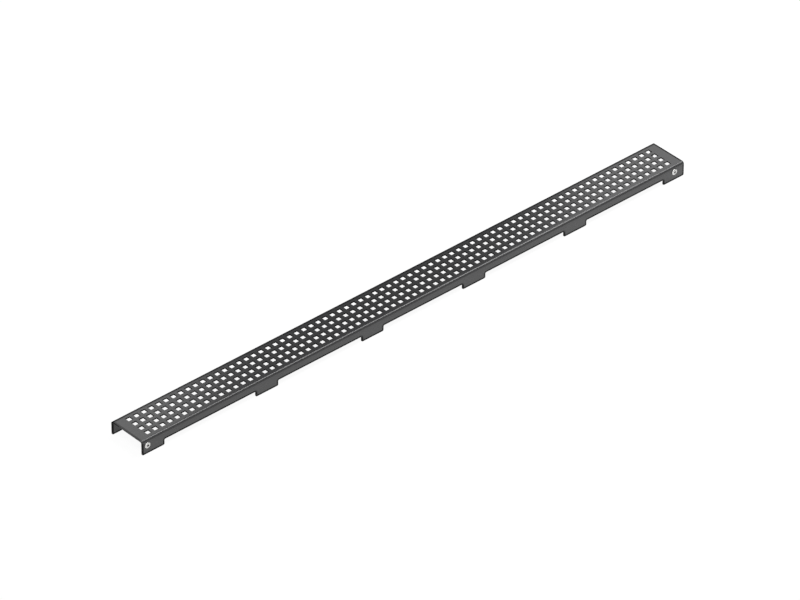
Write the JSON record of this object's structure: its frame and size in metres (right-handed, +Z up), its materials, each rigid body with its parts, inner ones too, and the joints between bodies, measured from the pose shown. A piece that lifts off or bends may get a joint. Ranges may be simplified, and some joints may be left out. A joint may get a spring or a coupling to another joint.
{
  "type": "channel drain grate",
  "caption": "Long folded sheet grate with a square hole grid, a deep lip and a short lip standing on feet, and a screw with a nut near each end of the deep lip.",
  "frame": {"origin": "centre of the bounding box at its base, on the plane that the feet stand on", "axes": "+X along the grate, +Y from the deep lip with the screws to the short lip, +Z up out of the walking surface"},
  "size_m": [0.772, 0.0518, 0.0175],
  "materials": {
    "coated_sheet": "satin black powder coat",
    "stainless_screw": "bright stainless",
    "stainless_nut": "bright stainless"
  },
  "bodies": {
    "root": {"grate": "coated_sheet", "screw_left": "stainless_screw", "screw_right": "stainless_screw", "nut_left": "stainless_nut", "nut_right": "stainless_nut"}
  },
  "joints": []
}
